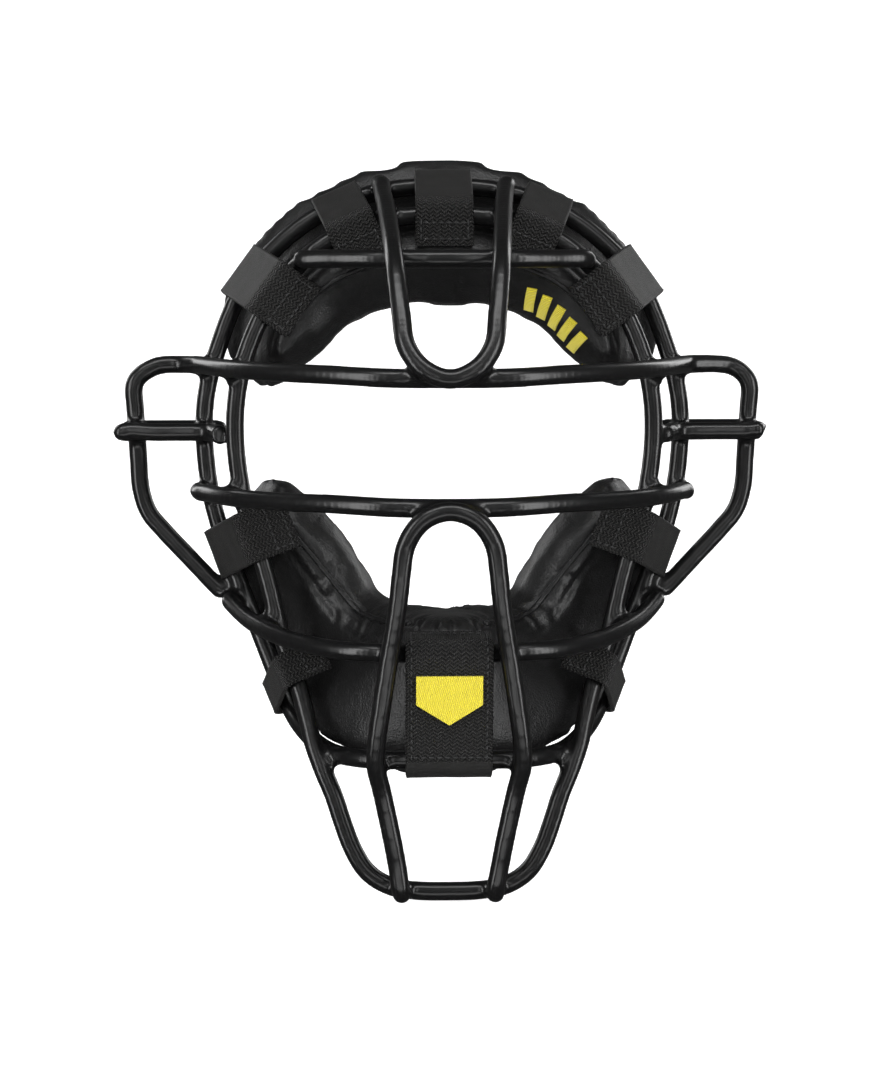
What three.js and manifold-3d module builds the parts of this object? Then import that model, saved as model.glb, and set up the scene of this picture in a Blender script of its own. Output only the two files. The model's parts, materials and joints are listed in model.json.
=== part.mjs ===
// Umpire's / catcher's face mask, in millimetres.
// The front of the mask faces -Y and +Z is up. The origin lies on the symmetry plane at eye level.
// "left" and "right" are as seen by somebody looking at the front of the mask.
//
// The cage is bent from coated steel wire, each bar crossing in front of the one it is welded to.
// Two foam pads are held behind the two rings by ten hook-and-loop tabs. Each tab has a strap sewn
// to the pad, which wraps the back ring, and a flap that crosses the front wire and presses on a
// loop patch.

import * as THREE from 'three';
import { ParametricGeometry } from 'three/addons/geometries/ParametricGeometry.js';
import { mergeVertices } from 'three/addons/utils/BufferGeometryUtils.js';
import Module from 'manifold-3d';

const wasm = await Module();
wasm.setup();

// ---------------------------------------------------------------- driving dimensions

const WIRE_DIAMETER = 7.2; // steel rod with its coating
const WIRE_SIDES = 8;
const WIRE_STEP = 11; // spacing of the stations along a bent wire
const END_BALL = 0.97; // rounded wire end, as a share of the wire radius
const BUTT_GAP = 0.3; // where the two ends of a ring meet

const BROW_HEIGHT = 29;
const EYE_BAR_HEIGHT = -19.5;
const FOREHEAD_BAR_HEIGHT = 71.7;
const JAW_HEIGHT = -75;
const EAR_BAR_HEIGHT = 2;
const EAR_BAR_TIP = 130; // outer end of an ear bar, from the middle of the mask
const HOOP_BACK = 25; // depth of the plane the ear hoops lie in

const COVER_THICKNESS = 1.8;
const LINING_THICKNESS = 2;
const PAD_GAP = 1.3; // between cover, foam and lining
const PAD_SLICES = 34;
const PAD_END_WALL = 0.02; // share of the pad's length taken by the cover at each end
const PAD_END_ROUND = 0.09; // share of the pad's length over which each end rounds off

const TAB_THICKNESS = 1.4;
const TAB_CLEARANCE = 1.1; // between a wire and the webbing round it
const TAB_SPLIT = 0.4; // living hinge between strap and flap
const PATCH_THICKNESS = 1;
const PATCH_GAP = 0.35;

const EMBLEM_THICKNESS = 0.8;
const EMBLEM_WIDTH = 25;
const EMBLEM_BASE = 9.4; // from the emblem's middle to its straight base
const EMBLEM_SHOULDER = 1.9;
const EMBLEM_POINT = 10;
const EMBLEM_OFFSET = 5.5; // from the middle of the flap towards the jaw bar
const STRIPE_COUNT = 5;
const STRIPE_FIRST = 0.708; // share of the pad's length
const STRIPE_PITCH = 0.043;
const STRIPE_LENGTH = 12;
const STRIPE_LIFT = 2; // middle of a stripe above the flat between the panel's edges
const STRIPE_WIDTH = 4;
const STRIPE_SLANT = 0.35; // radians

const WIRE_RADIUS = WIRE_DIAMETER / 2;

// ---------------------------------------------------------------- materials

function material(name, color, roughness, metalness) {
  return new THREE.MeshStandardMaterial({ name, color, roughness, metalness });
}

const COATED_STEEL = ['coated_steel', 0x0c0c0d, 0.18, 0.1];
const PAD_LEATHER = ['pad_leather', 0x141415, 0.42, 0];
const PAD_FOAM = ['pad_foam', 0x3a3a3c, 0.95, 0];
const PAD_LINING = ['pad_lining', 0x1b1b1c, 0.9, 0];
const WEBBING = ['webbing', 0x1a1a1b, 0.8, 0];
const LOOP_PILE = ['loop_pile', 0x101011, 1, 0];
const YELLOW_THREAD = ['yellow_thread', 0xf7e21c, 0.6, 0];

const mask = new THREE.Group();
mask.name = 'catchers_mask';

function addMesh(name, geometry, finish) {
  const mesh = new THREE.Mesh(geometry, material(...finish));
  mesh.name = name;
  mask.add(mesh);
  return mesh;
}

// ---------------------------------------------------------------- joining and cutting

function toManifold(geometry) {
  const bare = geometry.clone();
  bare.deleteAttribute('normal');
  bare.deleteAttribute('uv');
  const welded = mergeVertices(bare, 1e-4);
  const corners = welded.index.array;
  const triVerts = [];
  for (let i = 0; i < corners.length; i += 3) {
    const [a, b, c] = [corners[i], corners[i + 1], corners[i + 2]];
    if (a !== b && b !== c && c !== a) {
      triVerts.push(a, b, c);
    }
  }
  const mesh = new wasm.Mesh({
    numProp: 3,
    vertProperties: new Float32Array(welded.attributes.position.array),
    triVerts: new Uint32Array(triVerts),
  });
  return new wasm.Manifold(mesh);
}

function toGeometry(solid) {
  const mesh = solid.getMesh();
  const geometry = new THREE.BufferGeometry();
  geometry.setAttribute('position', new THREE.BufferAttribute(new Float32Array(mesh.vertProperties), 3));
  geometry.setIndex(new THREE.BufferAttribute(new Uint32Array(mesh.triVerts), 1));
  geometry.computeVertexNormals();
  return geometry;
}

// ---------------------------------------------------------------- bent wires

function vectors(points) {
  return points.map(([x, y, z]) => new THREE.Vector3(x, y, z));
}

function smoothPath(points) {
  return new THREE.CatmullRomCurve3(vectors(points), false, 'centripetal');
}

/** One half of a bar, listed from the middle outwards, with its mirror image in front of it. */
function mirroredPath(half) {
  const otherHalf = half.slice(1).reverse().map(([x, y, z]) => [-x, y, z]);
  return smoothPath([...otherHalf, ...half]);
}

/** A ring listed from its top middle to its bottom middle, closed but for the butt gap at the top. */
function ringPath(half) {
  const [, top_y, top_z] = half[0];
  const side = half.slice(1, -1);
  const mirror = side.map(([x, y, z]) => [-x, y, z]).reverse();
  return smoothPath([
    [BUTT_GAP / 2, top_y, top_z],
    ...side,
    half[half.length - 1],
    ...mirror,
    [-BUTT_GAP / 2, top_y, top_z],
  ]);
}

/** Straight runs through the points with the corners between them bent to a radius. */
function bentPath(points, radius) {
  const path = new THREE.CurvePath();
  const corners = vectors(points);
  let from = corners[0];
  for (let i = 1; i < corners.length - 1; i += 1) {
    const corner = corners[i];
    const before = corner.clone().add(from.clone().sub(corner).setLength(radius));
    const after = corner.clone().add(corners[i + 1].clone().sub(corner).setLength(radius));
    path.add(new THREE.LineCurve3(from, before));
    path.add(new THREE.QuadraticBezierCurve3(before, corner, after));
    from = after;
  }
  path.add(new THREE.LineCurve3(from, corners[corners.length - 1]));
  return path;
}

function mirrorPoints(points, side) {
  return points.map(([x, y, z]) => [side * x, y, z]);
}

function wireGeometry(path, ballAtStart, ballAtEnd) {
  const section = new THREE.Shape();
  section.absarc(0, 0, WIRE_RADIUS, 0, 2 * Math.PI, false);
  const geometry = new THREE.ExtrudeGeometry(section, {
    steps: Math.max(3, Math.round(path.getLength() / WIRE_STEP)),
    curveSegments: WIRE_SIDES / 2,
    extrudePath: path,
  });
  let solid = toManifold(geometry);
  const ends = [];
  if (ballAtStart) {
    ends.push(path.getPointAt(0));
  }
  if (ballAtEnd) {
    ends.push(path.getPointAt(1));
  }
  for (const end of ends) {
    const ball = new THREE.SphereGeometry(WIRE_RADIUS * END_BALL, WIRE_SIDES, WIRE_SIDES / 2);
    ball.translate(end.x, end.y, end.z);
    solid = solid.add(toManifold(ball));
  }
  return toGeometry(solid);
}

// ---------------------------------------------------------------- the lines of the cage

const backRingLine = ringPath([
  [0, 32, 101],
  [27, 32, 98],
  [50, 31, 89],
  [67, 30, 76.5],
  [81, 28.5, 60],
  [90.5, 26.5, 38],
  [96.5, 25, 16],
  [97.2, 25, -6],
  [93.5, 24, -31],
  [84, 19.5, -58],
  [75, 13, -80],
  [66, 4, -101],
  [60, -4, -112],
  [50, -18, -119.5],
  [34, -44, -118.5],
  [18, -51, -117.5],
  [0, -52, -117.5],
]);

const frontRingLine = ringPath([
  [0, 8, 89.5],
  [27, 7.5, 86],
  [49, 6, 76.5],
  [63, 4.5, 63],
  [72, 3, 49.5],
  [78, 1.5, 35.5],
  [82, 0, 20],
  [83.2, 0, 3],
  [82, -0.5, -12],
  [79, -2, -28],
  [71.5, -6, -51],
  [65.5, -10, -75],
  [57.5, -19, -98],
  [51, -32, -119.5],
  [45, -36, -133],
  [38.8, -39, -151],
  [33, -41.5, -162.5],
  [23, -43, -169.5],
  [0, -44, -171.5],
]);

const foreheadBarLine = mirroredPath([
  [0, -24, FOREHEAD_BAR_HEIGHT],
  [24, -20.5, FOREHEAD_BAR_HEIGHT],
  [44, -10.5, FOREHEAD_BAR_HEIGHT],
  [56, -3.4, FOREHEAD_BAR_HEIGHT],
]);

const browBarLine = mirroredPath([
  [0, -62, BROW_HEIGHT - 0.5],
  [21, -59.5, BROW_HEIGHT - 0.5],
  [43, -48, BROW_HEIGHT],
  [64, -31.5, BROW_HEIGHT],
  [77, -18, BROW_HEIGHT],
  [85, -6, BROW_HEIGHT],
  [98.5, 19.5, BROW_HEIGHT],
]);

const eyeBarLine = mirroredPath([
  [0, -62, EYE_BAR_HEIGHT],
  [21, -59.5, EYE_BAR_HEIGHT],
  [43, -48, EYE_BAR_HEIGHT],
  [64, -31.5, EYE_BAR_HEIGHT - 1],
  [77, -19, EYE_BAR_HEIGHT - 1.5],
  [85.4, -8, EYE_BAR_HEIGHT - 2],
  [99.5, 18, EYE_BAR_HEIGHT - 2.5],
]);

const foreheadVeeLine = mirroredPath([
  [0, -69.8, BROW_HEIGHT - 0.5],
  [10, -68.5, BROW_HEIGHT + 3.5],
  [15.5, -65.5, BROW_HEIGHT + 10],
  [18, -56.5, BROW_HEIGHT + 25.5],
  [20, -43, FOREHEAD_BAR_HEIGHT - 0.5],
  [23, -0.5, 91.5],
  [25.4, 24, 101.5],
]);

const chinArchLine = mirroredPath([
  [0, -69.8, EYE_BAR_HEIGHT],
  [9, -69.8, EYE_BAR_HEIGHT - 2.8],
  [15, -69.6, EYE_BAR_HEIGHT - 9],
  [17.5, -69, EYE_BAR_HEIGHT - 20],
  [19.6, -67, EYE_BAR_HEIGHT - 38],
  [22.5, -64, JAW_HEIGHT],
  [26.2, -62, -100],
  [28, -59.5, -116],
  [25.6, -56, -128],
  [20.5, -53.5, -154],
  [18, -51.3, -170.5],
]);

const jawBarLine = mirroredPath([
  [0, -58, JAW_HEIGHT],
  [27, -54.5, JAW_HEIGHT],
  [43, -46, JAW_HEIGHT - 0.5],
  [60, -29.5, JAW_HEIGHT],
  [69, -19, JAW_HEIGHT + 1.5],
  [78.6, -4, JAW_HEIGHT + 4],
  [87, 12.8, JAW_HEIGHT + 8.5],
]);

const HOOP_BEND = 9;

function earHoopLine(side) {
  return bentPath(mirrorPoints([
    [98.8, 20.1, BROW_HEIGHT],
    [104, 29, BROW_HEIGHT],
    [126, HOOP_BACK, BROW_HEIGHT - 1.5],
    [123.4, HOOP_BACK, -29.5],
    [91.5, 20.5, -63.2],
  ], side), HOOP_BEND);
}

function earBarFrontLine(side) {
  return bentPath(mirrorPoints([
    [EAR_BAR_TIP, HOOP_BACK - 7.6, EAR_BAR_HEIGHT],
    [94, HOOP_BACK - 7.8, EAR_BAR_HEIGHT],
    [88.8, 4.6, EAR_BAR_HEIGHT],
  ], side), 5);
}

function earBarBackLine(side) {
  return bentPath(mirrorPoints([
    [EAR_BAR_TIP - 1, HOOP_BACK + 7.6, EAR_BAR_HEIGHT],
    [112, HOOP_BACK + 7.6, EAR_BAR_HEIGHT],
    [92, HOOP_BACK + 7.6, EAR_BAR_HEIGHT],
  ], side), 5);
}

function addCage() {
  addMesh('back_ring', wireGeometry(backRingLine, false, false), COATED_STEEL);
  addMesh('front_ring', wireGeometry(frontRingLine, false, false), COATED_STEEL);
  addMesh('forehead_bar', wireGeometry(foreheadBarLine, true, true), COATED_STEEL);
  addMesh('brow_bar', wireGeometry(browBarLine, false, false), COATED_STEEL);
  addMesh('eye_bar', wireGeometry(eyeBarLine, true, true), COATED_STEEL);
  addMesh('forehead_vee', wireGeometry(foreheadVeeLine, true, true), COATED_STEEL);
  addMesh('chin_arch', wireGeometry(chinArchLine, true, true), COATED_STEEL);
  addMesh('jaw_bar', wireGeometry(jawBarLine, false, false), COATED_STEEL);
  for (const [word, side] of [['left', -1], ['right', 1]]) {
    addMesh(`ear_hoop_${word}`, wireGeometry(earHoopLine(side), false, false), COATED_STEEL);
    addMesh(`ear_bar_front_${word}`, wireGeometry(earBarFrontLine(side), true, true), COATED_STEEL);
    addMesh(`ear_bar_back_${word}`, wireGeometry(earBarBackLine(side), true, true), COATED_STEEL);
  }
}

// ---------------------------------------------------------------- pads

const BACK = new THREE.Vector3(0, 1, 0);

/**
 * A pad is a band that runs along a line just inside the back ring. Its section is drawn in two
 * directions from that line: "in", from the back ring towards the front ring, and "out", away from
 * the wearer. `middle` and `end` give the section's corners at the middle and at the ends of the
 * band, and `focus` says how soon the first gives way to the second. The last two corners of a
 * section are the ones that face the wearer.
 */
const upperPad = {
  line: mirroredPath([
    [0, 32, 101],
    [27, 32, 98],
    [50, 31, 89],
    [67, 30, 76.5],
    [80, 28.5, 60],
    [88, 27, 40],
    [88.5, 26, 19.5],
  ]),
  tiltMiddle: 26,
  tiltEnd: 28,
  focus: 1,
  middle: [[-20, 1], [-10, -7], [27, -7], [41, -12.5], [35, -39], [-24, -26]],
  end: [[-15, -1], [-9, -7], [25, -6.5], [33, -8.5], [26, -33], [-16, -28]],
};

const lowerPad = {
  line: mirroredPath([
    [0, -52, -117.5],
    [22, -46, -115],
    [42, -29, -107],
    [61, 0, -90],
    [73.5, 15, -69],
    [86, 20, -46],
    [89.5, 22, -18.5],
  ]),
  tiltMiddle: 90,
  tiltEnd: 30,
  focus: 2.2,
  middle: [[-1, -9], [5, -6.5], [40, -3], [53, -6], [54, -42], [2, -42]],
  end: [[-12, -4], [-5, -7.5], [27, -7], [35, -9.5], [28, -34], [-13, -30]],
};

/** 1 at the middle of a band and 0 at its ends, easing at both. */
function middleShare(u) {
  return 0.5 - 0.5 * Math.cos(2 * Math.PI * u);
}

/** The two drawing directions of a pad's section at u, and its origin. */
function padFrame(pad, u) {
  const origin = pad.line.getPointAt(u);
  const along = pad.line.getTangentAt(u).setY(0).normalize();
  const radial = new THREE.Vector3().crossVectors(along, BACK);
  if (radial.dot(new THREE.Vector3(origin.x, 0, origin.z)) < 0) {
    radial.negate();
  }
  const tilt = THREE.MathUtils.degToRad(
    THREE.MathUtils.lerp(pad.tiltEnd, pad.tiltMiddle, middleShare(u)),
  );
  const inward = BACK.clone().multiplyScalar(-Math.cos(tilt)).addScaledVector(radial, -Math.sin(tilt));
  const outward = BACK.clone().multiplyScalar(-Math.sin(tilt)).addScaledVector(radial, Math.cos(tilt));
  return { origin, inward, outward };
}

function sectionCorners(pad, u) {
  const share = middleShare(u) ** pad.focus;
  return pad.end.map(([a, b], i) => [
    THREE.MathUtils.lerp(a, pad.middle[i][0], share),
    THREE.MathUtils.lerp(b, pad.middle[i][1], share),
  ]);
}

function centroid(corners) {
  const sum = corners.reduce(([a, b], [c, d]) => [a + c, b + d], [0, 0]);
  return sum.map((total) => total / corners.length);
}

/** The unit vector square to the side from one corner to the next, pointing into the section. */
function sideNormal([fromA, fromB], [toA, toB], turn) {
  const length = Math.hypot(toA - fromA, toB - fromB);
  return [(-turn * (toB - fromB)) / length, (turn * (toA - fromA)) / length];
}

/** Moves every side of a section inwards by the same amount. */
function insetCorners(corners, amount) {
  const next = (i) => corners[(i + 1) % corners.length];
  const area = corners.reduce((sum, [a, b], i) => sum + a * next(i)[1] - b * next(i)[0], 0);
  const turn = Math.sign(area);
  return corners.map((corner, i) => {
    const [beforeA, beforeB] = sideNormal(corners.at(i - 1), corner, turn);
    const [afterA, afterB] = sideNormal(corner, next(i), turn);
    const share = amount / (1 + beforeA * afterA + beforeB * afterB);
    return [corner[0] + (beforeA + afterA) * share, corner[1] + (beforeB + afterB) * share];
  });
}

/** Runs the side that ends at `corner` on past it, until it lies `amount` nearer the wearer. */
function runOn([fromA, fromB], [a, b], amount) {
  const share = amount / (fromB - b);
  return [a + (a - fromA) * share, b - amount];
}

/** Moves the face towards the wearer out of the section (or into it, if negative). */
function pushBack(corners, amount) {
  const [before, inner, outer] = corners.slice(-3);
  const faces = [runOn(before, inner, amount), runOn(corners[0], outer, amount)];
  return [...corners.slice(0, -2), ...faces];
}

/** A band through the sections `shape` returns, each end rounded off, covering part of the pad. */
function bandGeometry(pad, shape, cutBack) {
  const count = shape(sectionCorners(pad, 0.5)).length;
  const place = (u, v, target) => {
    const station = THREE.MathUtils.lerp(cutBack, 1 - cutBack, u);
    const corners = shape(sectionCorners(pad, station));
    const [midA, midB] = centroid(corners);
    const fromEnd = Math.min(Math.min(u, 1 - u) / PAD_END_ROUND, 1);
    const swell = Math.sqrt(1 - (1 - fromEnd) ** 2);
    const [a, b] = corners[Math.round(v * count) % count];
    const frame = padFrame(pad, station);
    target.copy(frame.origin);
    target.addScaledVector(frame.inward, midA + (a - midA) * swell);
    target.addScaledVector(frame.outward, midB + (b - midB) * swell);
  };
  return new ParametricGeometry(place, PAD_SLICES, count);
}

function outwardSolid(geometry) {
  const solid = toManifold(geometry);
  if (solid.volume() > 0) {
    return solid;
  }
  const flipped = geometry.clone();
  flipped.setIndex([...geometry.index.array].reverse());
  return toManifold(flipped);
}

function addPad(name, pad) {
  const cavity = (c) => pushBack(insetCorners(c, COVER_THICKNESS), COVER_THICKNESS * 3);
  const inner = (c) => insetCorners(c, COVER_THICKNESS + PAD_GAP);
  const faceDepth = COVER_THICKNESS + PAD_GAP;
  const foam = (c) => pushBack(inner(c), faceDepth - LINING_THICKNESS - PAD_GAP);
  const lining = (c) => [
    ...pushBack(insetCorners(inner(c), PAD_GAP), faceDepth + PAD_GAP - LINING_THICKNESS).slice(-2),
    ...pushBack(insetCorners(inner(c), PAD_GAP), faceDepth + PAD_GAP).slice(-2).reverse(),
  ];
  const shell = outwardSolid(bandGeometry(pad, (c) => c, 0));
  const hollow = outwardSolid(bandGeometry(pad, cavity, PAD_END_WALL));
  addMesh(`${name}_cover`, toGeometry(shell.subtract(hollow)), PAD_LEATHER);
  const foamSolid = outwardSolid(bandGeometry(pad, foam, PAD_END_WALL * 2));
  addMesh(`${name}_foam`, toGeometry(foamSolid), PAD_FOAM);
  const liningSolid = outwardSolid(bandGeometry(pad, lining, PAD_END_WALL * 3.5));
  addMesh(`${name}_lining`, toGeometry(liningSolid), PAD_LINING);
}

// ---------------------------------------------------------------- hook-and-loop tabs

const STRAP_INNER = WIRE_RADIUS + TAB_CLEARANCE;
const STRAP_OUTER = STRAP_INNER + TAB_THICKNESS;

/**
 * Each tab wraps the back ring near (x, z) and crosses `over`. `fold` is how far the flap turns
 * down after that wire, `reach` how far it then runs, `leg` how far down the strap goes beside the
 * back ring and `foot` how far it then lies on the pad.
 */
const TAB_LEG = 4.6;
const TAB_FOOT = 3.5;
const TABS = [
  { name: 'top_centre', x: 0, z: 101, width: 23, over: frontRingLine, fold: 62, reach: 13 },
  { name: 'top_side', x: 42, z: 93, width: 20, over: frontRingLine, fold: 66, reach: 13 },
  { name: 'corner', x: 77.5, z: 64.5, width: 24, over: frontRingLine, fold: 66, reach: 13 },
  { name: 'cheek', x: 88.6, z: -47, width: 21, over: frontRingLine, fold: 68, reach: 16, leg: 4.3 },
  { name: 'jaw', x: 65, z: -102.5, width: 14, over: frontRingLine, fold: 76, reach: 14, leg: 7, foot: 3 },
  { name: 'chin', x: 0, z: -117, width: 33, over: jawBarLine, fold: 92, reach: 9, leg: 16, foot: 0 },
].map((tab) => ({ leg: TAB_LEG, foot: TAB_FOOT, ...tab }));

/** The place on a wire nearest to (x, z), with the wire's direction there. */
function stationNear(line, x, z) {
  let best = { distance: Infinity };
  for (let u = 0.002; u < 1; u += 0.002) {
    const point = line.getPointAt(u);
    const distance = Math.hypot(point.x - x, point.z - z);
    if (distance < best.distance) {
      best = { distance, point, along: line.getTangentAt(u) };
    }
  }
  return best;
}

/** The place where a wire crosses the plane through `point` square to `along`. */
function crossingNear(line, point, along) {
  let best = { miss: Infinity };
  for (let u = 0.002; u < 1; u += 0.002) {
    const candidate = line.getPointAt(u);
    const offset = candidate.clone().sub(point);
    const miss = Math.abs(offset.dot(along)) + (offset.length() > 50 ? 1000 : 0);
    if (miss < best.miss) {
      best = { miss, candidate };
    }
  }
  return best.candidate;
}

/** Where a tab sits: `inward` from the back ring to the wire it crosses, `outward` from the pad. */
function tabFrame(tab, side) {
  const { point, along } = stationNear(backRingLine, side * tab.x, tab.z);
  if (tab.x === 0) {
    point.setX(0);
    along.set(1, 0, 0);
  }
  const front = crossingNear(tab.over, point, along);
  const inward = front.sub(point);
  inward.addScaledVector(along, -inward.dot(along));
  const span = inward.length();
  inward.normalize();
  const outward = new THREE.Vector3().crossVectors(along, inward);
  if (outward.y > 0) {
    outward.negate();
  }
  const across = new THREE.Vector3().crossVectors(inward, outward);
  return { point, inward, outward, across, span };
}

function strapShape(tab) {
  const shape = new THREE.Shape();
  shape.moveTo(0, STRAP_OUTER);
  shape.absarc(0, 0, STRAP_OUTER, Math.PI / 2, Math.PI, false);
  if (tab.foot > 0) {
    shape.lineTo(-STRAP_OUTER, TAB_THICKNESS - tab.leg);
    shape.lineTo(-STRAP_OUTER - tab.foot, TAB_THICKNESS - tab.leg);
    shape.lineTo(-STRAP_OUTER - tab.foot, -tab.leg);
  } else {
    shape.lineTo(-STRAP_OUTER, -tab.leg);
  }
  shape.lineTo(-STRAP_INNER, -tab.leg);
  shape.lineTo(-STRAP_INNER, 0);
  shape.absarc(0, 0, STRAP_INNER, Math.PI, Math.PI / 2, true);
  return shape;
}

/** The end of the flap after it has turned down past the wire it crosses. */
function flapTip(tab, span, radius, run) {
  const fold = THREE.MathUtils.degToRad(tab.fold);
  return [
    span + radius * Math.sin(fold) + run * Math.cos(fold),
    radius * Math.cos(fold) - run * Math.sin(fold),
  ];
}

function flapShape(tab, span) {
  const turn = Math.PI / 2 - THREE.MathUtils.degToRad(tab.fold);
  const shape = new THREE.Shape();
  shape.moveTo(TAB_SPLIT, STRAP_INNER);
  shape.lineTo(span, STRAP_INNER);
  shape.absarc(span, 0, STRAP_INNER, Math.PI / 2, turn, true);
  shape.lineTo(...flapTip(tab, span, STRAP_INNER, tab.reach));
  shape.lineTo(...flapTip(tab, span, STRAP_OUTER, tab.reach));
  shape.lineTo(...flapTip(tab, span, STRAP_OUTER, 0));
  shape.absarc(span, 0, STRAP_OUTER, turn, Math.PI / 2, false);
  shape.lineTo(TAB_SPLIT, STRAP_OUTER);
  return shape;
}

function patchShape(tab, span) {
  const outer = STRAP_INNER - PATCH_GAP;
  const inner = outer - PATCH_THICKNESS;
  const start = tab.reach * 0.35;
  const shape = new THREE.Shape();
  shape.moveTo(...flapTip(tab, span, outer, start));
  shape.lineTo(...flapTip(tab, span, inner, start));
  shape.lineTo(...flapTip(tab, span, inner, tab.reach));
  shape.lineTo(...flapTip(tab, span, outer, tab.reach));
  return shape;
}

function addInFrame(name, shape, width, frame, finish) {
  const geometry = new THREE.ExtrudeGeometry(shape, { depth: width, bevelEnabled: false, curveSegments: 6 });
  geometry.translate(0, 0, -width / 2);
  const mesh = addMesh(name, geometry, finish);
  const basis = new THREE.Matrix4().makeBasis(frame.inward, frame.outward, frame.across);
  mesh.quaternion.setFromRotationMatrix(basis);
  mesh.position.copy(frame.point);
  return mesh;
}

function addTabs() {
  for (const tab of TABS) {
    const sides = tab.x === 0 ? [['', 1]] : [['_left', -1], ['_right', 1]];
    for (const [word, side] of sides) {
      const frame = tabFrame(tab, side);
      addInFrame(`tab_strap_${tab.name}${word}`, strapShape(tab), tab.width, frame, WEBBING);
      addInFrame(`tab_flap_${tab.name}${word}`, flapShape(tab, frame.span), tab.width, frame, WEBBING);
      addInFrame(
        `loop_patch_${tab.name}${word}`,
        patchShape(tab, frame.span),
        tab.width - 3,
        frame,
        LOOP_PILE,
      );
    }
  }
}

// ---------------------------------------------------------------- embroidery

/** A plain five-sided home plate, point down, on the flap of the chin tab. */
function addChinEmblem() {
  const chin = TABS[TABS.length - 1];
  const frame = tabFrame(chin, 1);
  const half = EMBLEM_WIDTH / 2;
  const middle = frame.span / 2 + EMBLEM_OFFSET;
  const shape = new THREE.Shape();
  shape.moveTo(middle + EMBLEM_BASE, -half);
  shape.lineTo(middle + EMBLEM_BASE, half);
  shape.lineTo(middle - EMBLEM_SHOULDER, half);
  shape.lineTo(middle - EMBLEM_POINT, 0);
  shape.lineTo(middle - EMBLEM_SHOULDER, -half);
  const geometry = new THREE.ExtrudeGeometry(shape, { depth: EMBLEM_THICKNESS, bevelEnabled: false });
  const mesh = addMesh('chin_emblem', geometry, YELLOW_THREAD);
  const basis = new THREE.Matrix4().makeBasis(frame.inward, frame.across.clone().negate(), frame.outward);
  mesh.quaternion.setFromRotationMatrix(basis);
  mesh.position.copy(frame.point).addScaledVector(frame.outward, STRAP_OUTER + PATCH_GAP);
}

/** A row of slanted bars on the front panel of the upper pad. */
function addPadStripes() {
  for (let i = 0; i < STRIPE_COUNT; i += 1) {
    const u = STRIPE_FIRST + STRIPE_PITCH * i;
    const frame = padFrame(upperPad, u);
    const [seam, edge] = sectionCorners(upperPad, u).slice(3, 5);
    const place = (share) => frame.origin.clone()
      .addScaledVector(frame.inward, THREE.MathUtils.lerp(seam[0], edge[0], share))
      .addScaledVector(frame.outward, THREE.MathUtils.lerp(seam[1], edge[1], share));
    const across = place(1).sub(place(0)).normalize();
    const along = upperPad.line.getTangentAt(u);
    const normal = new THREE.Vector3().crossVectors(across, along).normalize();
    if (normal.y > 0) {
      normal.negate();
    }
    const slanted = across.clone().applyAxisAngle(normal, STRIPE_SLANT);
    const level = new THREE.Vector3().crossVectors(normal, slanted);
    const bar = new THREE.BoxGeometry(STRIPE_LENGTH, STRIPE_WIDTH, EMBLEM_THICKNESS);
    const mesh = addMesh(`pad_stripe_${i + 1}`, bar, YELLOW_THREAD);
    mesh.quaternion.setFromRotationMatrix(new THREE.Matrix4().makeBasis(slanted, level, normal));
    mesh.position.copy(place(0.5)).addScaledVector(normal, STRIPE_LIFT);
  }
}

addCage();
addPad('upper_pad', upperPad);
addPad('lower_pad', lowerPad);
addTabs();
addChinEmblem();
addPadStripes();

export default mask;
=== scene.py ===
import json
import math

import bmesh
import bpy
import numpy as np
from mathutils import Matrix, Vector, noise
from mathutils.bvhtree import BVHTree


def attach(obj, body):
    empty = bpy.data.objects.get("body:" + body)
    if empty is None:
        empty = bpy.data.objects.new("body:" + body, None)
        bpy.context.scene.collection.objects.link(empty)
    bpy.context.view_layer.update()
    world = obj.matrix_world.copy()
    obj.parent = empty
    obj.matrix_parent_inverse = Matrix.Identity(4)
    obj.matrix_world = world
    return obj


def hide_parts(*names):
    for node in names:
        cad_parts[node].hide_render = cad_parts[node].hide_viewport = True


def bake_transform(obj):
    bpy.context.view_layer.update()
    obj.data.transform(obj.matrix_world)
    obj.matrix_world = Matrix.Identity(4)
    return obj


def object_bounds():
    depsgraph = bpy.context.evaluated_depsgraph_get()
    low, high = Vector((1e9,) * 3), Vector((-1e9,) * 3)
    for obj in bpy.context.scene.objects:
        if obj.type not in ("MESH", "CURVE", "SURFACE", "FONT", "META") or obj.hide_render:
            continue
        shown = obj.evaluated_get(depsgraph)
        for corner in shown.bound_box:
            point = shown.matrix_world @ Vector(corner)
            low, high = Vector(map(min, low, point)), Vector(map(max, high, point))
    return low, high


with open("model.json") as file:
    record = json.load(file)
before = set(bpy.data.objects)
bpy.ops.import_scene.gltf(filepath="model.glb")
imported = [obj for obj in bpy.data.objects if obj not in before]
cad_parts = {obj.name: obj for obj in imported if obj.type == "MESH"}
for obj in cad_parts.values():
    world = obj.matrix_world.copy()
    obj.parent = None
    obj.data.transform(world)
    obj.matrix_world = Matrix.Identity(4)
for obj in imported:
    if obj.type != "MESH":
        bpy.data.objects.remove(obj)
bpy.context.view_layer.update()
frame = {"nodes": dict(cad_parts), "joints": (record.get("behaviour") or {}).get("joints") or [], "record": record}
ROOT = "mask"
MM = 0.001
HERRINGBONE_COLUMN = 1.5  # mm
HERRINGBONE_PITCH = 1.5

# ------------------------------------------------------------------ camera


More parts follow.
